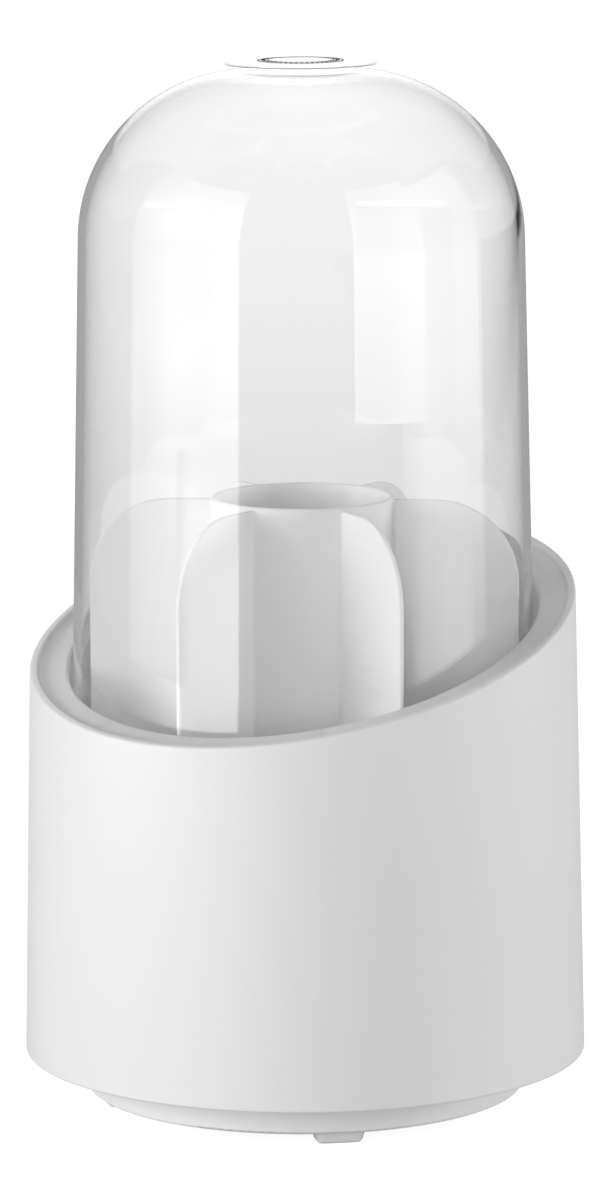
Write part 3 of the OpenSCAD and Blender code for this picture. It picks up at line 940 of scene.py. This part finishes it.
def floor_colour(tree, near, straight):
    """Grey for scattered light, black for bent and mirrored rays, and dark where it is seen straight."""
    seen_drop, shadow_room = 0.72, 0.45      # near the object it is less dark, so that a shadow shows
    grey = math_node(tree, "MULTIPLY", math_node(tree, "SUBTRACT", 1.0, bent_or_mirrored(tree)), FLOOR_GREY)
    change = math_node(tree, "SUBTRACT", math_node(tree, "MULTIPLY", near, shadow_room), seen_drop)
    change = math_node(tree, "MULTIPLY", change, straight)
    return math_node(tree, "MAXIMUM", math_node(tree, "ADD", grey, change), 0.0)


def floor_reflection(tree, place, distance):
    """The floor's level for mirrored rays: as the world, but dark far to the right, with a painted pool of
    light at the panels' feet.
    """
    right = vector_node(tree, "DOT_PRODUCT", place, (math.cos(VIEW_TURN), math.sin(VIEW_TURN), 0))
    toward = vector_node(tree, "DOT_PRODUCT", place, (math.sin(VIEW_TURN), -math.cos(VIEW_TURN), 0))
    sides = map_range(tree, right, DARK_SIDE[0], DARK_SIDE[1], MIRROR, DARK_LEVEL)
    bearing = math_node(tree, "ARCTAN2", right, toward)
    turn = math_node(tree, "ADD", math_node(tree, "MULTIPLY", bearing, 0.5 / math.pi), 0.5)
    # Painted pool of light: in reflections the floor glows round the panels' feet.
    foot = ramp(tree, turn, [(0.5 + degrees / 360, level) for degrees, level in PAINTED_POOL_SHARES])
    ring = math_node(tree, "MULTIPLY", math_node(tree, "GREATER_THAN", distance, PAINTED_POOL_RING[0]),
                     math_node(tree, "LESS_THAN", distance, PAINTED_POOL_RING[1]))
    strip = math_node(tree, "MULTIPLY", math_node(tree, "MULTIPLY", foot, ring), PAINTED_POOL_LEVEL)
    return math_node(tree, "MAXIMUM", sides, strip)


def make_floor():
    """A plain white floor: it glows where it is seen straight, and keeps a soft shadow near the object."""
    bpy.ops.object.select_all(action="DESELECT")
    bpy.ops.mesh.primitive_circle_add(vertices=96, radius=FLOOR_R, fill_type="NGON", location=(0, 0, FLOOR_Z))
    floor = bpy.context.object
    floor.name = floor.data.name = "floor"
    material, tree, shader = new_material("floor_white")
    shader.inputs["Roughness"].default_value = 0.9
    shader.inputs["Specular IOR Level"].default_value = 0.0
    shader.inputs["Emission Color"].default_value = (1, 1, 1, 1)
    place = object_place(tree)
    distance = vector_node(tree, "LENGTH", place)
    near = map_range(tree, distance, *SHADOW_REACH, 1.0, 0.0)
    straight = seen_straight(tree)
    tree.links.new(floor_colour(tree, near, straight), shader.inputs["Base Color"])
    shadow_depth = 0.11          # how far the glow sinks next to the object
    seen = math_node(tree, "SUBTRACT", 1.0, math_node(tree, "MULTIPLY", near, shadow_depth))
    seen = math_node(tree, "MULTIPLY", seen, straight)
    mirrored = math_node(tree, "MULTIPLY", floor_reflection(tree, place, distance), seen_mirrored(tree))
    tree.links.new(math_node(tree, "ADD", seen, mirrored), shader.inputs["Emission Strength"])
    floor.data.materials.append(material)


def make_camera():
    """The camera: a long lens, 1.43 m off and 362 mm up, looking a little down."""
    distance, height, side = 1.425343, 0.362076, 0.000804
    down, roll = 0.1673, -0.0048
    sensor, focal_pixels, frame_pixels = 36.0, 6047.8, 1198.0
    data = bpy.data.cameras.new("camera")
    data.sensor_width = sensor
    data.lens = sensor * focal_pixels / frame_pixels
    data.clip_end = 50
    camera = bpy.data.objects.new("camera", data)
    bpy.context.scene.collection.objects.link(camera)
    turn = Matrix.Rotation(VIEW_TURN, 4, "Z")
    tilt = Matrix.Rotation(math.pi / 2 - down, 4, "X")
    place = turn @ Matrix.Translation((side, -distance, height)) @ tilt @ Matrix.Rotation(roll, 4, "Z")
    camera.matrix_world = place
    bpy.context.scene.camera = camera


make_camera()
make_floor()
make_world()
for number, (degrees, spread, level) in enumerate(LAMPS):
    soft_sun(f"lamp_{number}", degrees, spread, level)
hang_left_panels()
hang_right_panels()
hang_arch()
bpy.context.scene.view_settings.view_transform = "Standard"
